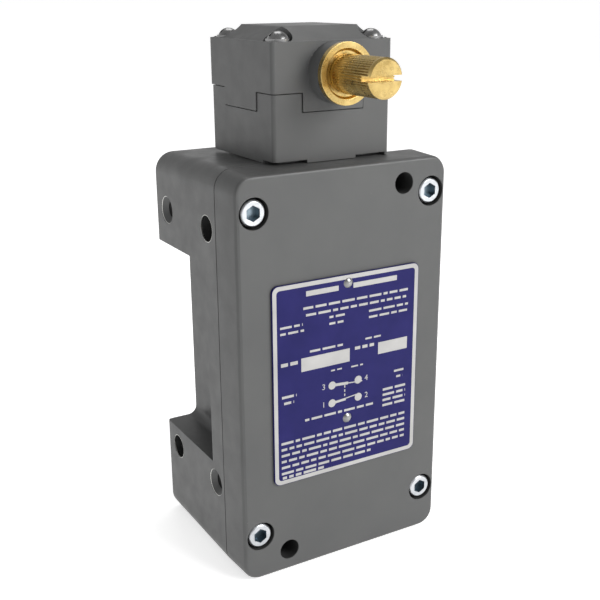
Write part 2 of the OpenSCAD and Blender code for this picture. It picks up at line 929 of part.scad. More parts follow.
module block_cover_screws() {
  color(zinc)
    for (z = block_cover_screw_places)
      slotted_screw(0, z, core_front - block_cover_thickness, block_cover_screw_head,
        block_cover_screw_head_height, block_cover_screw, block_cover_screw_length);
}

module contact_block_screws() {
  color(zinc)
    for (x = [-block_screw_x, block_screw_x])
      slotted_screw(x, block_screw_z, wing_front, small_head_radius, block_screw_head_height,
        block_screw_radius, block_back - wing_front + block_screw_depth);
}

module contact_carrier() {
  color(moulded_cream)
    difference() {
      union() {
        box([-carrier_half, head_y - carrier_half_depth, carrier_low],
          [carrier_half, head_y + carrier_half_depth, carrier_high]);
        translate([0, head_y, carrier_high - fit])
          cylinder(r = carrier_stem, h = carrier_stem_top - carrier_high + fit);
        translate([0, head_y, carrier_pin_low])
          cylinder(r = carrier_pin, h = carrier_low - carrier_pin_low + fit);
      }
      for (z = [closed_bridge_z, open_bridge_z])
        bridge_strip(z - fit, strip_thickness + 2 * fit, bridge_half_depth + fit);
    }
}

// The flat strip of a moving contact
module bridge_strip(low, thickness, half_depth) {
  box([-bridge_half, head_y - half_depth, low], [bridge_half, head_y + half_depth, low + thickness]);
}

// A pair of contact tips, one at each side, standing on a height
module tips(low) {
  for (x = [-tip_x, tip_x])
    translate([x, head_y, low])
      cylinder(r = tip_radius, h = tip_height + fit);
}

module closed_bridge() {
  color(silver) {
    bridge_strip(closed_bridge_z, strip_thickness, bridge_half_depth);
    tips(closed_bridge_z + strip_thickness - fit);
  }
}

module open_bridge() {
  color(silver) {
    bridge_strip(open_bridge_z, strip_thickness, bridge_half_depth);
    tips(open_bridge_z - tip_height);
  }
}

// A pair of bent terminals, one at each side, at a terminal height and a tab height
module terminal_pair(z, tab) {
  for (side = [0, 1])
    mirror([side, 0, 0]) {
      difference() {
        box([terminal_inner, wing_front - terminal_thickness, z - terminal_half],
          [terminal_outer, wing_front, z + terminal_half]);
        bar(terminal_x, z, terminal_screw_radius + line_gap, wing_front - 2 * past, wing_front + past);
      }
      box([tab_inner, tab_front, tab], [tab_outer, wing_front, tab + terminal_thickness]);
    }
}

module closed_terminals() {
  color(brass) {
    terminal_pair(terminal_high, closed_tab_z);
    tips(closed_tab_z - tip_height);
  }
}

module open_terminals() {
  color(brass) {
    terminal_pair(terminal_low, open_tab_z);
    tips(open_tab_z + terminal_thickness - fit);
  }
}

module terminal_screws() {
  color(zinc)
    for (x = [-terminal_x, terminal_x])
      for (z = [terminal_low, terminal_high])
        slotted_screw(x, z, wing_front - terminal_thickness, small_head_radius, small_head_height,
          terminal_screw_radius, terminal_screw_length);
}

module carrier_spring() {
  color(steel)
    coil(chamber_low + spring_gap, carrier_low - spring_gap, carrier_spring_radius, carrier_spring_wire);
}

module ground_screw() {
  color(ground_green) {
    bar(ground_x, ground_z, ground_radius, cavity_back - fit, cavity_back + ground_depth);
    bar(ground_x, ground_z, ground_washer_radius, cavity_back - ground_washer_thickness, cavity_back);
    translate([ground_x, cavity_back - ground_washer_thickness - ground_head_height, ground_z])
      rotate([-90, 0, 0])
        cylinder(r = ground_head_radius, h = ground_head_height + fit, $fn = 6);
  }
}

housing();
cover();
cover_gasket();
cover_screws();
nameplate();
nameplate_rivets();
head_base();
head_gasket();
head_base_screws();
head_cap();
head_cap_screws();
shaft_bushing();
rear_bearing();
operating_shaft();
shaft_seal();
retaining_ring();
cam();
cam_pin();
plunger();
plunger_guide();
plunger_spring();
contact_block();
block_cover();
block_cover_screws();
contact_block_screws();
contact_carrier();
closed_bridge();
open_bridge();
closed_terminals();
open_terminals();
terminal_screws();
carrier_spring();
ground_screw();
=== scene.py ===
"""Looks of the limit switch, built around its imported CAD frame. Lengths are in metres, in the CAD frame."""

import json
import math
import random

import bmesh
import bpy
from mathutils import Matrix, Vector


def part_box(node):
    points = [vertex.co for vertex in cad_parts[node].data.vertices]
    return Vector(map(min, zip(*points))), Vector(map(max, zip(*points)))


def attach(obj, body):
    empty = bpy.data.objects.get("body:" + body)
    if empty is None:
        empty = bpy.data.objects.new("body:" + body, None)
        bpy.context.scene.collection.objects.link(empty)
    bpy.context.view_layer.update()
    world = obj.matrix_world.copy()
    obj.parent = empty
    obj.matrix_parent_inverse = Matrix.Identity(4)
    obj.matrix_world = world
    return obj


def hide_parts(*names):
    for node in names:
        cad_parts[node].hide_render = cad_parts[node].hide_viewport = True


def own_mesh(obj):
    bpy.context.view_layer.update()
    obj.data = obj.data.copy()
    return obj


MM = 0.001

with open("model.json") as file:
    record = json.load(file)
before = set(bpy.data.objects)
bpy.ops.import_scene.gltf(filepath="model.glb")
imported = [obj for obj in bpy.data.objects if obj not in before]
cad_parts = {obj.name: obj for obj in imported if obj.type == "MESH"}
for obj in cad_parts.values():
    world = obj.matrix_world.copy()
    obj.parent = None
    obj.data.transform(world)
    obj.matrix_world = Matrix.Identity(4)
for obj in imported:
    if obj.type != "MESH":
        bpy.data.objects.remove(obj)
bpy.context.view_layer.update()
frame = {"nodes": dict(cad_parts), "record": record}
nodes = frame["nodes"]


# ---------------------------------------------------------------- shader helpers

def new_material(name):
    """A material with its node tree, principled shader and object coordinates."""
    material = bpy.data.materials.new(name)
    material.use_nodes = True
    tree = material.node_tree
    shader = tree.nodes["Principled BSDF"]
    coords = tree.nodes.new("ShaderNodeTexCoord")
    return material, tree, shader, coords.outputs["Object"]


def noise(tree, vector, scale, detail=4.0, roughness=0.55, stretch=None):
    """The factor output of a noise texture; stretch squeezes the pattern along an axis."""
    if stretch:
        mapping = tree.nodes.new("ShaderNodeMapping")
        mapping.inputs["Scale"].default_value = stretch
        tree.links.new(vector, mapping.inputs["Vector"])
        vector = mapping.outputs["Vector"]
    texture = tree.nodes.new("ShaderNodeTexNoise")
    texture.inputs["Scale"].default_value = scale
    texture.inputs["Detail"].default_value = detail
    texture.inputs["Roughness"].default_value = roughness
    tree.links.new(vector, texture.inputs["Vector"])
    return texture.outputs["Fac"]


def spread(tree, value, low, high, start=0.3, stop=0.7):
    """Maps a texture value from start..stop on to low..high."""
    node = tree.nodes.new("ShaderNodeMapRange")
    node.inputs["From Min"].default_value = start
    node.inputs["From Max"].default_value = stop
    node.inputs["To Min"].default_value = low
    node.inputs["To Max"].default_value = high
    tree.links.new(value, node.inputs["Value"])
    return node.outputs["Result"]


def blend(tree, factor, first, second):
    """Mixes two colours, each a tuple or a socket, by a factor socket."""
    node = tree.nodes.new("ShaderNodeMix")
    node.data_type = "RGBA"
    tree.links.new(factor, node.inputs["Factor"])
    for socket, colour in ((node.inputs[6], first), (node.inputs[7], second)):
        if isinstance(colour, tuple):
            socket.default_value = (*colour, 1.0)
        else:
            tree.links.new(colour, socket)
    return node.outputs[2]


def bump(tree, shader, height, depth, strength=1.0, below=None):
    """Adds a bump of a real depth under the shader, on top of another bump if one is given."""
    node = tree.nodes.new("ShaderNodeBump")
    node.inputs["Distance"].default_value = depth
    node.inputs["Strength"].default_value = strength
    tree.links.new(height, node.inputs["Height"])
    if below:
        tree.links.new(below, node.inputs["Normal"])
    tree.links.new(node.outputs["Normal"], shader.inputs["Normal"])
    return node.outputs["Normal"]


# ---------------------------------------------------------------- materials

MOTTLE_SCALE = 55
SPECK_SCALE = 900
SPECK_SPAN = (0.77, 0.85)
SPECK_COLOUR = (0.22, 0.215, 0.205)
PAINT_SHEEN_SCALE = 160
PAINT_GLOSS = 0.35
CASTING_SCALE = 120
CASTING_DEPTH = 0.09 * MM
PEEL_SCALE = 1500
PEEL_DEPTH = 0.02 * MM
TARNISH_SCALE = 230
METAL_SHEEN_SCALE = 700
METAL_GRAIN_SCALE = 2600
BRASS_TARNISH_SCALE = 260
BRASS_SHEEN_SCALE = 500
BRASS_GRAIN_SCALE = 1800
BRASS_GRAIN_DEPTH = 0.006 * MM
TURNING_SCALE = 900
TURNING_DEPTH = 0.004 * MM
PLASTIC_COLOUR_SCALE = 90
PLASTIC_SHEEN_SCALE = 300


def cast_paint(name, dark, light, rough_low, rough_high):
    """Satin paint over a die casting: slight mottling, soft unevenness, fine peel and a few pale specks."""
    material, tree, shader, place = new_material(name)
    mottle = spread(tree, noise(tree, place, MOTTLE_SCALE, 5), 0, 1)
    colour = blend(tree, mottle, dark, light)
    specks = spread(tree, noise(tree, place, SPECK_SCALE, 2), 0, 1, *SPECK_SPAN)
    rubbed = blend(tree, specks, colour, SPECK_COLOUR)
    tree.links.new(rubbed, shader.inputs["Base Color"])
    sheen = spread(tree, noise(tree, place, PAINT_SHEEN_SCALE, 6), rough_low, rough_high)
    tree.links.new(sheen, shader.inputs["Roughness"])
    uneven = bump(tree, shader, noise(tree, place, CASTING_SCALE, 3), CASTING_DEPTH, 0.5)
    bump(tree, shader, noise(tree, place, PEEL_SCALE, 3), PEEL_DEPTH, 0.45, uneven)
    shader.inputs["Specular IOR Level"].default_value = PAINT_GLOSS
    return material


def metal(name, dark, light, rough_low, rough_high, grain=(1, 1, 1), depth=0.01):
    """Bare or plated metal with faint tarnish and a fine grain along one axis."""
    material, tree, shader, place = new_material(name)
    shader.inputs["Metallic"].default_value = 1.0
    tarnish = spread(tree, noise(tree, place, TARNISH_SCALE, 6), 0, 1)
    tree.links.new(blend(tree, tarnish, dark, light), shader.inputs["Base Color"])
    sheen = spread(tree, noise(tree, place, METAL_SHEEN_SCALE, 4), rough_low, rough_high)
    tree.links.new(sheen, shader.inputs["Roughness"])
    bump(tree, shader, noise(tree, place, METAL_GRAIN_SCALE, 3, 0.6, grain), depth * MM, 0.6)
    return material


def turned_brass(name, centre):
    """Brass turned on a lathe: fine rings round the shaft axis, warm tarnish."""
    material, tree, shader, place = new_material(name)
    shader.inputs["Metallic"].default_value = 1.0
    tarnish = spread(tree, noise(tree, place, BRASS_TARNISH_SCALE, 6), 0, 1)
    colour = blend(tree, tarnish, (0.44, 0.305, 0.105), (0.63, 0.47, 0.19))
    tree.links.new(colour, shader.inputs["Base Color"])
    sheen = spread(tree, noise(tree, place, BRASS_SHEEN_SCALE, 5), 0.22, 0.36)
    tree.links.new(sheen, shader.inputs["Roughness"])
    mapping = tree.nodes.new("ShaderNodeMapping")
    mapping.inputs["Location"].default_value = -centre
    tree.links.new(place, mapping.inputs["Vector"])
    rings = tree.nodes.new("ShaderNodeTexWave")
    rings.wave_type = "RINGS"
    rings.rings_direction = "Y"
    rings.inputs["Scale"].default_value = TURNING_SCALE
    rings.inputs["Distortion"].default_value = 1.5
    rings.inputs["Detail"].default_value = 2.0
    tree.links.new(mapping.outputs["Vector"], rings.inputs["Vector"])
    turned = bump(tree, shader, rings.outputs["Fac"], TURNING_DEPTH, 0.5)
    bump(tree, shader, noise(tree, place, BRASS_GRAIN_SCALE, 4), BRASS_GRAIN_DEPTH, 0.4, turned)
    return material


def plastic(name, dark, light, rough_low, rough_high, grain_scale=900, depth=0.015, gloss=0.5):
    """Moulded plastic, rubber or print, or near-black painted shade: slight unevenness in colour, sheen and
    surface.
    """
    material, tree, shader, place = new_material(name)
    uneven = spread(tree, noise(tree, place, PLASTIC_COLOUR_SCALE, 5), 0, 1)
    tree.links.new(blend(tree, uneven, dark, light), shader.inputs["Base Color"])
    sheen = spread(tree, noise(tree, place, PLASTIC_SHEEN_SCALE, 5), rough_low, rough_high)
    tree.links.new(sheen, shader.inputs["Roughness"])
    bump(tree, shader, noise(tree, place, grain_scale, 3), depth * MM, 0.5)
    shader.inputs["Specular IOR Level"].default_value = gloss
    return material


# ---------------------------------------------------------------- mesh helpers

WELD_GAP = 0.002 * MM
FLAT_ANGLE = 0.4
CREASE_ANGLE = 32
NORMAL_WEIGHT = 90


def smooth_by_angle(obj, degrees):
    """Smooth shading with sharp edges above an angle, as a modifier."""
    name = "smooth_by_angle"
    group = bpy.data.node_groups.get(name)
    if not group:
        group = bpy.data.node_groups.new(name, "GeometryNodeTree")
        group.interface.new_socket("Geometry", in_out="INPUT", socket_type="NodeSocketGeometry")
        angle = group.interface.new_socket("Angle", in_out="INPUT", socket_type="NodeSocketFloat")
        angle.default_value = math.radians(30)
        group.interface.new_socket("Geometry", in_out="OUTPUT", socket_type="NodeSocketGeometry")
        start = group.nodes.new("NodeGroupInput")
        end = group.nodes.new("NodeGroupOutput")
        faces = group.nodes.new("GeometryNodeSetShadeSmooth")
        faces.domain = "FACE"
        edges = group.nodes.new("GeometryNodeSetShadeSmooth")
        edges.domain = "EDGE"
        edges.inputs["Shade Smooth"].default_value = False
        fold = group.nodes.new("GeometryNodeInputMeshEdgeAngle")
        compare = group.nodes.new("ShaderNodeMath")
        compare.operation = "GREATER_THAN"
        group.links.new(start.outputs["Geometry"], faces.inputs["Geometry"])
        group.links.new(faces.outputs["Geometry"], edges.inputs["Geometry"])
        group.links.new(fold.outputs["Unsigned Angle"], compare.inputs[0])
        group.links.new(start.outputs["Angle"], compare.inputs[1])
        group.links.new(compare.outputs["Value"], edges.inputs["Selection"])
        group.links.new(edges.outputs["Geometry"], end.inputs["Geometry"])
    modifier = obj.modifiers.new("smooth", "NODES")
    modifier.node_group = group
    for item in group.interface.items_tree:
        if item.item_type == "SOCKET" and item.name == "Angle":
            modifier[item.identifier] = math.radians(degrees)


def soften(obj, width):
    """Rounds the sharp edges of a CAD node by a small real width, without touching its mesh."""
    weld = obj.modifiers.new("weld", "WELD")
    weld.merge_threshold = WELD_GAP
    flat = obj.modifiers.new("flat", "DECIMATE")
    flat.decimate_type = "DISSOLVE"
    flat.angle_limit = math.radians(FLAT_ANGLE)
    if width:
        edge = obj.modifiers.new("edge", "BEVEL")
        edge.width = width
        edge.segments = 3
        edge.limit_method = "ANGLE"
        edge.angle_limit = math.radians(CREASE_ANGLE)
        edge.use_clamp_overlap = True
        edge.miter_outer = "MITER_ARC"
    smooth_by_angle(obj, CREASE_ANGLE)
    even = obj.modifiers.new("even", "WEIGHTED_NORMAL")
    even.weight = NORMAL_WEIGHT
    even.keep_sharp = True


def mesh_piece(name, build, material, body):
    """A new piece from a function that fills a bmesh; it gets a material and rides on a CAD body."""
    mesh = bpy.data.meshes.new(name)
    work = bmesh.new()
    build(work)
    bmesh.ops.recalc_face_normals(work, faces=work.faces)
    work.to_mesh(mesh)
    work.free()
    obj = bpy.data.objects.new(name, mesh)
    bpy.context.scene.collection.objects.link(obj)
    mesh.materials.append(material)
    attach(obj, body)
    return obj


def box_mesh(work, low, high):
    """Adds a box between two corners."""
    size = Vector(high) - Vector(low)
    middle = (Vector(high) + Vector(low)) / 2
    bmesh.ops.create_cube(work, size=1, matrix=Matrix.Translation(middle) @ Matrix.Diagonal((*size, 1)))


def skin(work, loops):
    """Joins each loop of vertices to the next with faces."""
    for first, second in zip(loops, loops[1:]):
        for i in range(len(first)):
            j = (i + 1) % len(first)
            work.faces.new((first[i], first[j], second[j], second[i]))


def lathe(work, profile, centre, axis, columns, reach=None):
    """Turns a profile of (distance along the axis, radius) round it; reach may change a radius by angle."""
    turn = Vector((0, 0, 1)).rotation_difference(axis)
    loops = []
    for along, radius in profile:
        loop = []
        for i in range(columns):
            angle = 2 * math.pi * i / columns
            r = reach(along, radius, i) if reach else radius
            spot = Vector((r * math.cos(angle), r * math.sin(angle), along))
            loop.append(work.verts.new(centre + turn @ spot))
        loops.append(loop)
    skin(work, loops)
    return loops


# ---------------------------------------------------------------- places read from the frame

def corners(node):
    """Lowest and highest corner of a CAD node."""
    low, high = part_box(node)
    return Vector(low), Vector(high)


shaft_low, shaft_high = corners("operating_shaft")
bushing_low, bushing_high = corners("shaft_bushing")
plate_low, plate_high = corners("nameplate")
face_front = plate_high.y
housing_left = corners("housing")[0].x
shaft_radius = (shaft_high.x - shaft_low.x) / 2
shaft_axis = Vector(((shaft_low.x + shaft_high.x) / 2, 0, (shaft_low.z + shaft_high.z) / 2))
plate_middle = (plate_low + plate_high) / 2
mounts = {mount["name"]: mount for mount in frame["record"]["mounts"]}


# ---------------------------------------------------------------- materials by slot

PRINT_GRAIN = 1400
PRINT_DEPTH = 0.006

paint = cast_paint("cast_paint", (0.070, 0.071, 0.071), (0.078, 0.079, 0.078), 0.36, 0.5)
zinc = metal("zinc_plate", (0.42, 0.44, 0.46), (0.62, 0.63, 0.65), 0.26, 0.44)
plain_steel = metal("plain_steel", (0.42, 0.42, 0.43), (0.56, 0.56, 0.57), 0.28, 0.46, (1, 1, 6))
bare_alloy = metal("bare_alloy", (0.50, 0.50, 0.48), (0.70, 0.70, 0.67), 0.3, 0.5, (8, 1, 1))
# painted dark reflection: zinc darkened to stand for the dark reflections on the bright head cap screws; the
# nameplate rivets share it
dark_reflection_zinc = metal("dark_reflection_zinc", (0.17, 0.17, 0.17), (0.34, 0.34, 0.34), 0.2, 0.34)
# painted shade: dark bluish metal lining the hexagon sockets of the bright zinc cover screws
socket_shade = metal("socket_shade", (0.11, 0.15, 0.175), (0.27, 0.33, 0.38), 0.26, 0.42)
silver_plate = metal("silver_plate", (0.70, 0.70, 0.68), (0.86, 0.86, 0.83), 0.2, 0.36)
brass = turned_brass("turned_brass", shaft_axis)
# painted shade: a near-black sheet lining the walls of holes and counterbores, where only shade falls
bore_shade = plastic("bore_shade", (0.010, 0.010, 0.010), (0.020, 0.020, 0.020), 0.7, 0.9)
rubber = plastic("black_rubber", (0.012, 0.012, 0.012), (0.022, 0.022, 0.022), 0.6, 0.8)
moulded_black = plastic("moulded_black", (0.018, 0.018, 0.019), (0.032, 0.032, 0.032), 0.4, 0.58)
moulded_cream = plastic("moulded_cream", (0.60, 0.52, 0.36), (0.70, 0.62, 0.45), 0.42, 0.6)
label_blue = plastic(
    "label_blue", (0.010, 0.0095, 0.072), (0.015, 0.0135, 0.093), 0.42, 0.54, PRINT_GRAIN, PRINT_DEPTH, 0.12
)
label_white = plastic(
    "label_white", (0.33, 0.325, 0.32), (0.40, 0.395, 0.385), 0.42, 0.54, PRINT_GRAIN, PRINT_DEPTH, 0.2
)
ground_green = metal("ground_green", (0.05, 0.22, 0.08), (0.09, 0.32, 0.12), 0.3, 0.5)

SLOT_MATERIALS = {
    "cast": paint,
    "zinc": zinc,
    "steel": plain_steel,
    "brass": brass,
    "rubber": rubber,
    "label": label_blue,
    "black_plastic": moulded_black,
    "cream_plastic": moulded_cream,
    "silver": silver_plate,
    "green": ground_green,
}
# the head cap screws and nameplate rivets get zinc with a painted dark reflection
NODE_MATERIALS = {"head_cap_screws": dark_reflection_zinc, "nameplate_rivets": dark_reflection_zinc}
EDGE_WIDTHS = {
    "housing": 0.35 * MM,
    "cover": 0.3 * MM,
    "head_base": 0.3 * MM,
    "head_cap": 0.35 * MM,
    "shaft_bushing": 0.12 * MM,
    "cover_screws": 0.12 * MM,
    "nameplate": 0.1 * MM,
}


def dress_nodes():
    """Gives every CAD node its material and its soft edges."""
    slots = {entry["node"]: entry["material_slot"] for entry in frame["record"]["subparts"]}
    for name, obj in nodes.items():
        obj.data.materials.clear()
        obj.data.materials.append(NODE_MATERIALS.get(name, SLOT_MATERIALS[slots[name]]))
        soften(obj, EDGE_WIDTHS.get(name, 0))


# ---------------------------------------------------------------- the serrated shaft

SERRATIONS = 46
SERRATION_COLUMNS = 8
SERRATION_DEPTH = 0.42 * MM
SERRATION_INSET = 1.0 * MM
SERRATION_REST = 0.5 * MM
RUN_OUT = 0.7 * MM
NECK_LEAD = 0.4 * MM
JOURNAL_LEAD = 0.5 * MM
SHAFT_CENTRE_HOLE = 0.4 * MM
SHAFT_CHAMFER = 0.55 * MM
SHAFT_CHAMFER_BELLY = 0.3 * MM
JOURNAL_CHAMFER = 0.3 * MM
SLOT_WIDTH = 1.6 * MM
SLOT_DEPTH = 4.0 * MM
NECK_RADIUS = 5.2 * MM
JOURNAL_RADIUS = 4.5 * MM
SEAL_GROOVE_RADIUS = 3.4 * MM
RING_GROOVE_RADIUS = 4.0 * MM


def span(node):
    """Front and back of a ring on the shaft, with a little room on each side."""
    low, high = corners(node)
    return low.y - 0.05 * MM, high.y + 0.05 * MM


def groove(near, far, outer, inner):
    """Profile points of a square groove."""
    return [(near, outer), (near, inner), (far, inner), (far, outer)]


def serrated_shaft():
    """The brass shaft with its serration, end chamfer and screwdriver slot."""
    start = shaft_low.y
    neck_start = bushing_low.y - NECK_LEAD
    back = bushing_high.y - JOURNAL_LEAD
    serration_start = start + SERRATION_INSET
    serration_end = neck_start - SERRATION_REST
    seal_span = span("shaft_seal")
    ring_span = span("retaining_ring")

    def reach(along, radius, column):
        if not serration_start <= along <= serration_end:
            return radius
        inset = min(along - serration_start, serration_end - along)
        fade = min(1, inset / RUN_OUT)
        tooth = 0.5 - 0.5 * math.cos(2 * math.pi * (column % SERRATION_COLUMNS) / SERRATION_COLUMNS)
        return radius - SERRATION_DEPTH * fade * tooth ** 1.5

    profile = [
        (start, SHAFT_CENTRE_HOLE),
        (start, shaft_radius - SHAFT_CHAMFER),
        (start + 0.4 * SHAFT_CHAMFER, shaft_radius - SHAFT_CHAMFER_BELLY),
        (start + SHAFT_CHAMFER, shaft_radius),
        (serration_start, shaft_radius),
        (serration_start + RUN_OUT, shaft_radius),
        (serration_end - RUN_OUT, shaft_radius),
        (serration_end, shaft_radius),
        (neck_start, shaft_radius),
        (neck_start, NECK_RADIUS),
        *groove(*seal_span, NECK_RADIUS, SEAL_GROOVE_RADIUS),
        (back, NECK_RADIUS),
        (back, JOURNAL_RADIUS),
        *groove(*ring_span, JOURNAL_RADIUS, RING_GROOVE_RADIUS),
        (shaft_high.y - JOURNAL_CHAMFER, JOURNAL_RADIUS),
        (shaft_high.y, JOURNAL_RADIUS - JOURNAL_CHAMFER),
    ]
    columns = SERRATIONS * SERRATION_COLUMNS

    def build(work):
        loops = lathe(work, profile, shaft_axis, Vector((0, 1, 0)), columns, reach)
        work.faces.new(list(reversed(loops[0])))
        work.faces.new(loops[-1])

    piece = mesh_piece("serrated_shaft", build, brass, "shaft")

    def cut(work):
        half = SLOT_WIDTH / 2
        low = (-2 * shaft_radius, start - SLOT_DEPTH, shaft_axis.z - half)
        box_mesh(work, low, (2 * shaft_radius, start + SLOT_DEPTH, shaft_axis.z + half))
        pin_low, pin_high = corners("cam_pin")
        pin_radius = (pin_high.z - pin_low.z) / 2 + 0.05 * MM
        across = Matrix.Translation((pin_low + pin_high) / 2) @ Matrix.Rotation(math.pi / 2, 4, "Y")
        bmesh.ops.create_cone(
            work,
            cap_ends=True,
            segments=32,
            radius1=pin_radius,
            radius2=pin_radius,
            depth=4 * shaft_radius,
            matrix=across,
        )

    cutter = mesh_piece("slot_cutter", cut, brass, "shaft")
    slot = piece.modifiers.new("slot", "BOOLEAN")
    slot.operation = "DIFFERENCE"
    slot.solver = "EXACT"
    slot.object = cutter
    depsgraph = bpy.context.evaluated_depsgraph_get()
    finished = bpy.data.meshes.new_from_object(piece.evaluated_get(depsgraph))
    piece.modifiers.clear()
    piece.data = finished
    bpy.data.objects.remove(cutter)
    smooth_by_angle(piece, 40)
    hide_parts("operating_shaft")
    return piece


# ---------------------------------------------------------------- the springs

SPRING_TURNS = 4
SPRING_STEPS = 24
WIRE_COLUMNS = 10
SPRINGS = {"plunger_spring": ("plunger_slide", 0.4 * MM), "carrier_spring": ("carrier_slide", 0.35 * MM)}


def coil_spring(node, wire):
    """A round-wire spring in place of a CAD spring."""
    low, high = corners(node)
    middle = (low + high) / 2
    length = high.z - low.z
    radius = (high.x - low.x) / 2 - wire
    steps = SPRING_TURNS * SPRING_STEPS
    up = Vector((0, 0, 1))

    def build(work):
        loops = []
        for i in range(steps + 1):
            turn = 2 * math.pi * SPRING_TURNS * i / steps
            out = Vector((math.cos(turn), math.sin(turn), 0))
            height = low.z + wire + (length - 2 * wire) * i / steps
            core = Vector((middle.x, middle.y, height)) + radius * out
            loop = []
            for j in range(WIRE_COLUMNS):
                around = 2 * math.pi * j / WIRE_COLUMNS
                loop.append(work.verts.new(core + wire * (math.cos(around) * out + math.sin(around) * up)))
            loops.append(loop)
        skin(work, loops)
        work.faces.new(list(reversed(loops[0])))
        work.faces.new(loops[-1])

    piece = mesh_piece("coiled_" + node, build, plain_steel, "enclosure")
    smooth_by_angle(piece, 60)
    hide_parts(node)
    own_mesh(piece)


# ---------------------------------------------------------------- the printed nameplate

PRINT_RISE = 0.03 * MM
BORDER = 1.3 * MM
PLATE_CORNER = 2.0 * MM
DOT_RADIUS = 1.3 * MM
DOT_RISE = 1.5 * PRINT_RISE
ARM_RISE = 1.25 * PRINT_RISE


def on_plate(x, z, rise=PRINT_RISE):
    """A point over the nameplate, from its middle, in millimetres across and up."""
    return Vector((plate_middle.x + x * MM, plate_low.y - rise, plate_middle.z + z * MM))


def bar(work, start, end, height, rise=PRINT_RISE):
    """Adds a thin printed bar between two plate points, with its height in millimetres."""
    first, last = on_plate(*start, rise=0), on_plate(*end, rise=0)
    along = (last - first).normalized()
    across = Vector((-along.z, 0, along.x)) * height / 2 * MM
    out = Vector((0, -rise, 0))
    ring = [first - across, last - across, last + across, first + across]
    back = [work.verts.new(point) for point in ring]
    front = [work.verts.new(point + out) for point in ring]
    work.faces.new(front)
    for i in range(4):
        j = (i + 1) % 4
        work.faces.new((back[i], back[j], front[j], front[i]))


def disc(work, centre, radius, columns=32):
    """Adds a thin printed disc."""
    middle = on_plate(*centre, rise=DOT_RISE)
    ring = []
    for i in range(columns):
        angle = 2 * math.pi * i / columns
        ring.append(work.verts.new(middle + radius * Vector((math.cos(angle), 0, math.sin(angle)))))
    work.faces.new(ring)


def round_outline(half_width, half_height, radius, steps=8):
    """Points of a round-cornered rectangle round the plate's middle, in millimetres."""
    points = []
    for quarter in range(4):
        sx = 1 if quarter in (0, 3) else -1
        sz = 1 if quarter in (0, 1) else -1
        for step in range(steps + 1):
            angle = math.pi / 2 * (quarter + step / steps)
            x = sx * (half_width - radius) + radius * math.cos(angle)
            z = sz * (half_height - radius) + radius * math.sin(angle)
            points.append((x, z))
    return points


def border(work):
    """Adds the pale frame round the plate's edge."""
    half_width = (plate_high.x - plate_low.x) / 2 / MM - BORDER_INSET
    half_height = (plate_high.z - plate_low.z) / 2 / MM - BORDER_INSET
    radius = PLATE_CORNER / MM
    width = BORDER / MM
    outer = [work.verts.new(on_plate(x, z)) for x, z in round_outline(half_width, half_height, radius)]
    inner_points = round_outline(half_width - width, half_height - width, radius - 0.7 * width)
    inner = [work.verts.new(on_plate(x, z)) for x, z in inner_points]
    for i in range(len(outer)):
        j = (i + 1) % len(outer)
        work.faces.new((outer[i], outer[j], inner[j], inner[i]))


BORDER_INSET = 0.15
WRITE_ON_FIELDS = [(-16.4, 0.7, 6.1, 4.3), (11.2, 22.2, 6.1, 3.9)]
CONTACTS = {"3": (-5.6, -2.7), "4": (3.9, -2.8), "1": (-5.6, -8.6), "2": (4.0, -8.6)}
DIGIT_SHIFT = {"3": -3.0, "4": 3.0, "1": -3.0, "2": 3.0}
DIGIT_SIZE = 2.6 * MM
# each arm starts at a contact: its far end, the end of its thick part, and that part's thickness
CONTACT_ARMS = [("3", (5.4, -3.5), (0.2, -3.1), 0.9), ("1", (4.4, -7.5), (-0.6, -8.3), 0.8)]
LINK_DASHES = 3
LINK_ACROSS = -1.0
LINK_TOP = -3.6
LINK_STEP = 1.4
LINK_DASH = 0.8
LINK_THICKNESS = 0.35
# ruled lines in the places of the print: start across, end across, height above the middle, thickness
HEADER_LINES = [(-14.6, -3.4, 28.1, 1.6), (1.8, 17.7, 28.1, 1.6)]
SHORT_LINES = [
    (-15.6, 22.0, 23.7, 0.75), (-14.7, 21.4, 21.5, 0.75),
    (-23.4, -15.8, 18.9, 0.7), (-23.4, -15.4, 17.0, 0.7), (-6.6, -1.2, 19.5, 0.7), (-6.6, -1.2, 17.4, 0.7),
    (7.6, 22.2, 19.0, 0.7), (7.6, 21.9, 17.0, 0.7), (-13.4, -1.8, 9.9, 0.7), (6.4, 12.2, 10.2, 0.6),
    (2.6, 9.9, 7.8, 1.0), (-23.3, -17.6, 7.3, 1.1), (-6.0, -2.1, 2.2, 0.5), (1.3, 5.6, 2.0, 0.5),
    (-23.1, -18.1, -3.0, 0.8), (-22.4, -19.0, -5.0, 0.8), (17.5, 21.8, -2.8, 0.7), (18.4, 20.8, -4.8, 0.7),
    (-15.2, 9.6, -12.1, 0.75), (-23.2, -8.2, -29.6, 0.85),
]
ROW_THICKNESS = 0.8
STROKE_LENGTHS = (1.4, 4.6)
STROKE_GAP = 0.8
RIGHT_ROWS, RIGHT_START, RIGHT_STEP = 4, -8.3, -1.8
RIGHT_SPAN = (13.3, 22.0)
FOOT_ROWS, FOOT_START, FOOT_STEP = 6, -18.1, -2.0
FOOT_SPAN = (-23.5, 22.0)
LAST_ROW_END = 9.0


def broken_line(work, chance, left, right, height, thick):
    """Adds a ruled line broken into short strokes of uneven length."""
    while left < right:
        end = min(left + chance.uniform(*STROKE_LENGTHS), right)
        bar(work, (left, height), (end, height), thick)
        left = end + STROKE_GAP


def printed_lines(work):
    """Adds the ruled lines."""
    chance = random.Random(5)
    for left, right, height, thick in HEADER_LINES:
        bar(work, (left, height), (right, height), thick)
    for left, right, height, thick in SHORT_LINES:
        broken_line(work, chance, left, right, height, thick)
    for row in range(RIGHT_ROWS):
        height = RIGHT_START + row * RIGHT_STEP
        broken_line(work, chance, *RIGHT_SPAN, height, ROW_THICKNESS)
    left, right = FOOT_SPAN
    for row in range(FOOT_ROWS):
        height = FOOT_START + row * FOOT_STEP
        end = right if row < FOOT_ROWS - 1 else LAST_ROW_END
        broken_line(work, chance, left, end, height, ROW_THICKNESS)


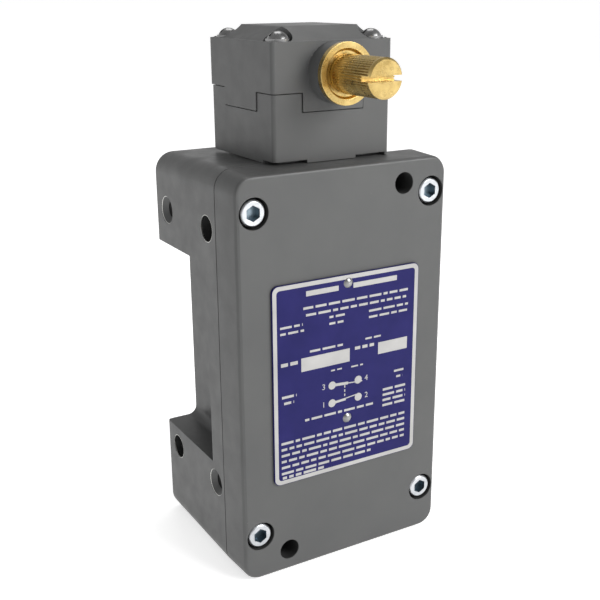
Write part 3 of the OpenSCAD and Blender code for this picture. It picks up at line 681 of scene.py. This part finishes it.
def contact_diagram(work):
    """Adds the generic contact diagram: four dots, two arms and their dashed link."""
    for place in CONTACTS.values():
        disc(work, place, DOT_RADIUS)
    for text, end, waist, thick in CONTACT_ARMS:
        bar(work, CONTACTS[text], end, LINK_THICKNESS)
        bar(work, CONTACTS[text], waist, thick, ARM_RISE)
    for dash in range(LINK_DASHES):
        top = LINK_TOP - LINK_STEP * dash
        bar(work, (LINK_ACROSS, top), (LINK_ACROSS, top - LINK_DASH), LINK_THICKNESS)


def blank_fields(work):
    """Adds the two blank write-on fields."""
    for left, right, height, thick in WRITE_ON_FIELDS:
        bar(work, (left, height), (right, height), thick)


def digit(text, centre):
    """A plain number beside a contact dot, as a mesh."""
    curve = bpy.data.curves.new("digit_" + text, "FONT")
    curve.body = text
    curve.size = DIGIT_SIZE
    curve.align_x = "CENTER"
    curve.align_y = "CENTER"
    holder = bpy.data.objects.new("digit_curve", curve)
    bpy.context.scene.collection.objects.link(holder)
    bpy.context.view_layer.update()
    mesh = bpy.data.meshes.new_from_object(holder.evaluated_get(bpy.context.evaluated_depsgraph_get()))
    bpy.data.objects.remove(holder)
    mesh.transform(Matrix.Translation(on_plate(*centre)) @ Matrix.Rotation(math.pi / 2, 4, "X"))
    mesh.materials.clear()
    mesh.materials.append(label_white)
    obj = bpy.data.objects.new("print_digit_" + text, mesh)
    bpy.context.scene.collection.objects.link(obj)
    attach(obj, "enclosure")


def print_nameplate():
    """Puts the border, the fields, the lines and the contact diagram on the nameplate."""
    parts = {"border": border, "fields": blank_fields, "lines": printed_lines, "diagram": contact_diagram}
    for name, build in parts.items():
        mesh_piece("print_" + name, build, label_white, "enclosure")
    for text, (x, z) in CONTACTS.items():
        digit(text, (x + DIGIT_SHIFT[text], z))


# ---------------------------------------------------------------- bare metal rims and painted shade in the holes

LINER_GAP = 0.03 * MM
RIM_LIFT = 0.02 * MM
RIM_STEPS = 6
RIM_SPAN = (13, 45)
CONE_HALF_TURN = 67.5
LINER_COLUMNS = 64
THREAD_LEAD = 0.1 * MM
LIP_START = 0.04 * MM
LIP_WIDTH = 0.18 * MM
LIP_END = 0.4 * MM
THREAD_PITCH = 1.27 * MM
THREAD_DEPTH = 0.5 * MM
THREAD_TURNS = 11
COUNTERSINK = 1.9 * MM
SCREW_HEAD_RADIUS = 3.9 * MM
SOCKET_RADIUS = 2.3 * MM
COUNTERBORE_RADIUS = 4.65 * MM
COUNTERBORE_DEPTH = 4.9 * MM
SOCKET_DEPTH = 2.5 * MM
SOCKET_LEAD = 0.15 * MM


def rim_arc(radius, bend, first, last):
    """Profile of a bare metal rim that follows a rounded edge of a hole, between two angles in degrees."""
    edge = EDGE_WIDTHS["housing"]
    points = []
    for step in range(RIM_STEPS + 1):
        angle = math.radians(first + (last - first) * step / RIM_STEPS)
        along = bend - (bend + RIM_LIFT) * math.cos(angle)
        points.append((along, radius + edge - (bend + RIM_LIFT) * math.sin(angle)))
    return points


def hole_liner(name, profile, mouth, inward, material):
    """One lining of a hole, turned round the hole's axis."""
    def build(work):
        lathe(work, profile, mouth, inward, LINER_COLUMNS)

    piece = mesh_piece(name, build, material, "enclosure")
    smooth_by_angle(piece, 30)


def side_hole(name, mount):
    """Bare rim and a dark wall of painted shade in a plain side hole, or bare rim and a dark thread of
    painted shade in a tapped one.
    """
    edge = EDGE_WIDTHS["housing"]
    radius = mount["dims"]["r_mm"] * MM
    mouth = Vector((housing_left, mount["pos_m"][1], mount["pos_m"][2]))
    inward = Vector((1, 0, 0))
    if mount["kind"] == "threaded_hole":
        wide = radius + COUNTERSINK
        bend = edge * math.tan(math.radians(CONE_HALF_TURN))
        hole_liner("rim_" + name, rim_arc(wide, bend, *RIM_SPAN), mouth, inward, bare_alloy)
        profile = [(COUNTERSINK - THREAD_LEAD, radius - LINER_GAP)]
        for turn in range(THREAD_TURNS):
            start = COUNTERSINK + turn * THREAD_PITCH
            profile.append((start + 0.25 * THREAD_PITCH, radius - LINER_GAP))
            profile.append((start + 0.75 * THREAD_PITCH, radius - THREAD_DEPTH))
        hole_liner("thread_" + name, profile, mouth, inward, bore_shade)
    else:
        lip = [
            (2 * LIP_START, radius + 0.6 * edge),
            (LIP_START, radius + 0.4 * edge),
            (LIP_START, radius - LIP_WIDTH),
            (LIP_END, radius - LIP_WIDTH),
        ]
        hole_liner("rim_" + name, lip, mouth, inward, bare_alloy)
        length = mount["dims"]["length_mm"] * MM
        wall = [(edge, radius - LINER_GAP), (length - edge, radius - LINER_GAP)]
        hole_liner("wall_" + name, wall, mouth, inward, bore_shade)


def front_hole(name, mount):
    """Painted shade: a dark liner on the wall of a front mounting hole."""
    edge = EDGE_WIDTHS["housing"]
    radius = mount["dims"]["r_mm"] * MM - LINER_GAP
    mouth = Vector((mount["pos_m"][0], face_front, mount["pos_m"][2]))
    length = mount["dims"]["length_mm"] * MM
    wall = [(edge, radius), (length - edge, radius)]
    hole_liner("wall_" + name, wall, mouth, Vector((0, 1, 0)), bore_shade)


def counterbores():
    """Painted shade: dark liners on the walls of the counterbores round the heads of the cover screws."""
    low, high = corners("cover_screws")
    mouth_y = face_front + EDGE_WIDTHS["cover"]
    radius = COUNTERBORE_RADIUS - LINER_GAP
    wall = [(0, radius), (COUNTERBORE_DEPTH, radius)]
    across = {"left": low.x + SCREW_HEAD_RADIUS, "right": high.x - SCREW_HEAD_RADIUS}
    upward = {"low": low.z + SCREW_HEAD_RADIUS, "high": high.z - SCREW_HEAD_RADIUS}
    for side, x in across.items():
        for level, z in upward.items():
            mouth = Vector((x, mouth_y, z))
            hole_liner("counterbore_%s_%s" % (side, level), wall, mouth, Vector((0, 1, 0)), bore_shade)


def screw_sockets():
    """Painted shade in the hexagon sockets of the cover screws: dark bluish metal liners on their walls and
    floors.
    """
    low, high = corners("cover_screws")
    near = low.y + SOCKET_LEAD
    far = low.y + SOCKET_DEPTH

    def build(work):
        for x in (low.x + SCREW_HEAD_RADIUS, high.x - SCREW_HEAD_RADIUS):
            for z in (low.z + SCREW_HEAD_RADIUS, high.z - SCREW_HEAD_RADIUS):
                rings = []
                for y in (near, far):
                    ring = []
                    for corner in range(6):
                        angle = math.radians(30 + 60 * corner)
                        spot = (x + SOCKET_RADIUS * math.cos(angle), y, z + SOCKET_RADIUS * math.sin(angle))
                        ring.append(work.verts.new(spot))
                    rings.append(ring)
                for i in range(6):
                    j = (i + 1) % 6
                    work.faces.new((rings[0][i], rings[0][j], rings[1][j], rings[1][i]))
                work.faces.new(rings[1])

    mesh_piece("screw_sockets", build, socket_shade, "enclosure")


def line_holes():
    """Lines all the holes of the enclosure that the camera can look into, with bare rims and painted shade.
    """
    for name, mount in mounts.items():
        if name.startswith(("side_hole", "side_thread")):
            side_hole(name, mount)
        if name.startswith("front_hole"):
            front_hole(name, mount)
    counterbores()
    screw_sockets()


# ---------------------------------------------------------------- studio and camera

CAMERA_AZIMUTH = -29.96
CAMERA_ELEVATION = 17.94
CAMERA_ROLL = -0.44
CAMERA_DISTANCE = 279.0 * MM
CAMERA_TARGET = Vector((-15.96, -33.2, 89.6)) * MM
CAMERA_LENS = 57.44
FLOOR_SIZE = 60.0
FLOOR_DROP = 0.05 * MM
FLOOR_TONE = 0.86
FLOOR_GLOW = 0.6
HORIZON_STRENGTH = 1.0
OVERHEAD_STRENGTH = 0.38
# azimuth, elevation, distance, size and power
LIGHTS = {"key_light": (32, 30, 0.9, 0.5, 7.6), "back_light": (150, 60, 1.0, 0.5, 2.0)}


def direction(azimuth, elevation):
    """The unit vector from the object towards a viewer or a light."""
    a, e = math.radians(azimuth), math.radians(elevation)
    return Vector((math.sin(a) * math.cos(e), -math.cos(a) * math.cos(e), math.sin(e)))


def studio_floor():
    """A large plain pale floor."""
    mesh = bpy.data.meshes.new("studio_floor")
    half = FLOOR_SIZE / 2
    edge = [(-half, -half, 0), (half, -half, 0), (half, half, 0), (-half, half, 0)]
    mesh.from_pydata(edge, [], [(0, 1, 2, 3)])
    material, _, shader, _ = new_material("floor_white")
    shader.inputs["Base Color"].default_value = (FLOOR_TONE, FLOOR_TONE, FLOOR_TONE, 1)
    shader.inputs["Roughness"].default_value = 0.9
    shader.inputs["Specular IOR Level"].default_value = 0.1
    shader.inputs["Emission Color"].default_value = (1, 1, 1, 1)
    shader.inputs["Emission Strength"].default_value = FLOOR_GLOW
    mesh.materials.append(material)
    floor = bpy.data.objects.new("studio_floor", mesh)
    bpy.context.scene.collection.objects.link(floor)
    floor.location.z = -FLOOR_DROP


def studio_world():
    """Soft white surroundings, dimmer overhead."""
    world = bpy.data.worlds.new("studio")
    bpy.context.scene.world = world
    world.use_nodes = True
    tree = world.node_tree
    background = tree.nodes["Background"]
    coords = tree.nodes.new("ShaderNodeTexCoord")
    split = tree.nodes.new("ShaderNodeSeparateXYZ")
    tree.links.new(coords.outputs["Generated"], split.inputs["Vector"])
    ramp = spread(tree, split.outputs["Z"], HORIZON_STRENGTH, OVERHEAD_STRENGTH, 0.03, 0.6)
    tree.links.new(ramp, background.inputs["Strength"])
    background.inputs["Color"].default_value = (1, 1, 1, 1)


def area_light(name, azimuth, elevation, distance, size, power):
    """A soft square light aimed at the object's middle."""
    data = bpy.data.lights.new(name, "AREA")
    data.size = size
    data.energy = power
    light = bpy.data.objects.new(name, data)
    bpy.context.scene.collection.objects.link(light)
    toward = direction(azimuth, elevation)
    light.location = CAMERA_TARGET + toward * distance
    light.rotation_mode = "QUATERNION"
    light.rotation_quaternion = (-toward).to_track_quat("-Z", "Y")
    return light


def studio_lights():
    """Key from the front right, and a weaker light over the back."""
    for name, setting in LIGHTS.items():
        area_light(name, *setting)


def photo_camera():
    """The camera at the photo's angle, distance and lens."""
    data = bpy.data.cameras.new("camera")
    camera = bpy.data.objects.new("camera", data)
    bpy.context.scene.collection.objects.link(camera)
    data.sensor_width = 36
    data.lens = CAMERA_LENS
    data.clip_start = 0.01
    data.clip_end = 100
    back = direction(CAMERA_AZIMUTH, CAMERA_ELEVATION)
    camera.location = CAMERA_TARGET + back * CAMERA_DISTANCE
    camera.rotation_mode = "QUATERNION"
    upright = (-back).to_track_quat("-Z", "Y").to_matrix()
    rolled = upright @ Matrix.Rotation(math.radians(CAMERA_ROLL), 3, "Z")
    camera.rotation_quaternion = rolled.to_quaternion()
    bpy.context.scene.camera = camera


# ---------------------------------------------------------------- the scene

dress_nodes()
serrated_shaft()
for spring, (joint, wire) in SPRINGS.items():
    coil_spring(spring, wire)
print_nameplate()
line_holes()
studio_floor()
studio_world()
studio_lights()
photo_camera()
bpy.context.scene.view_settings.view_transform = "Standard"
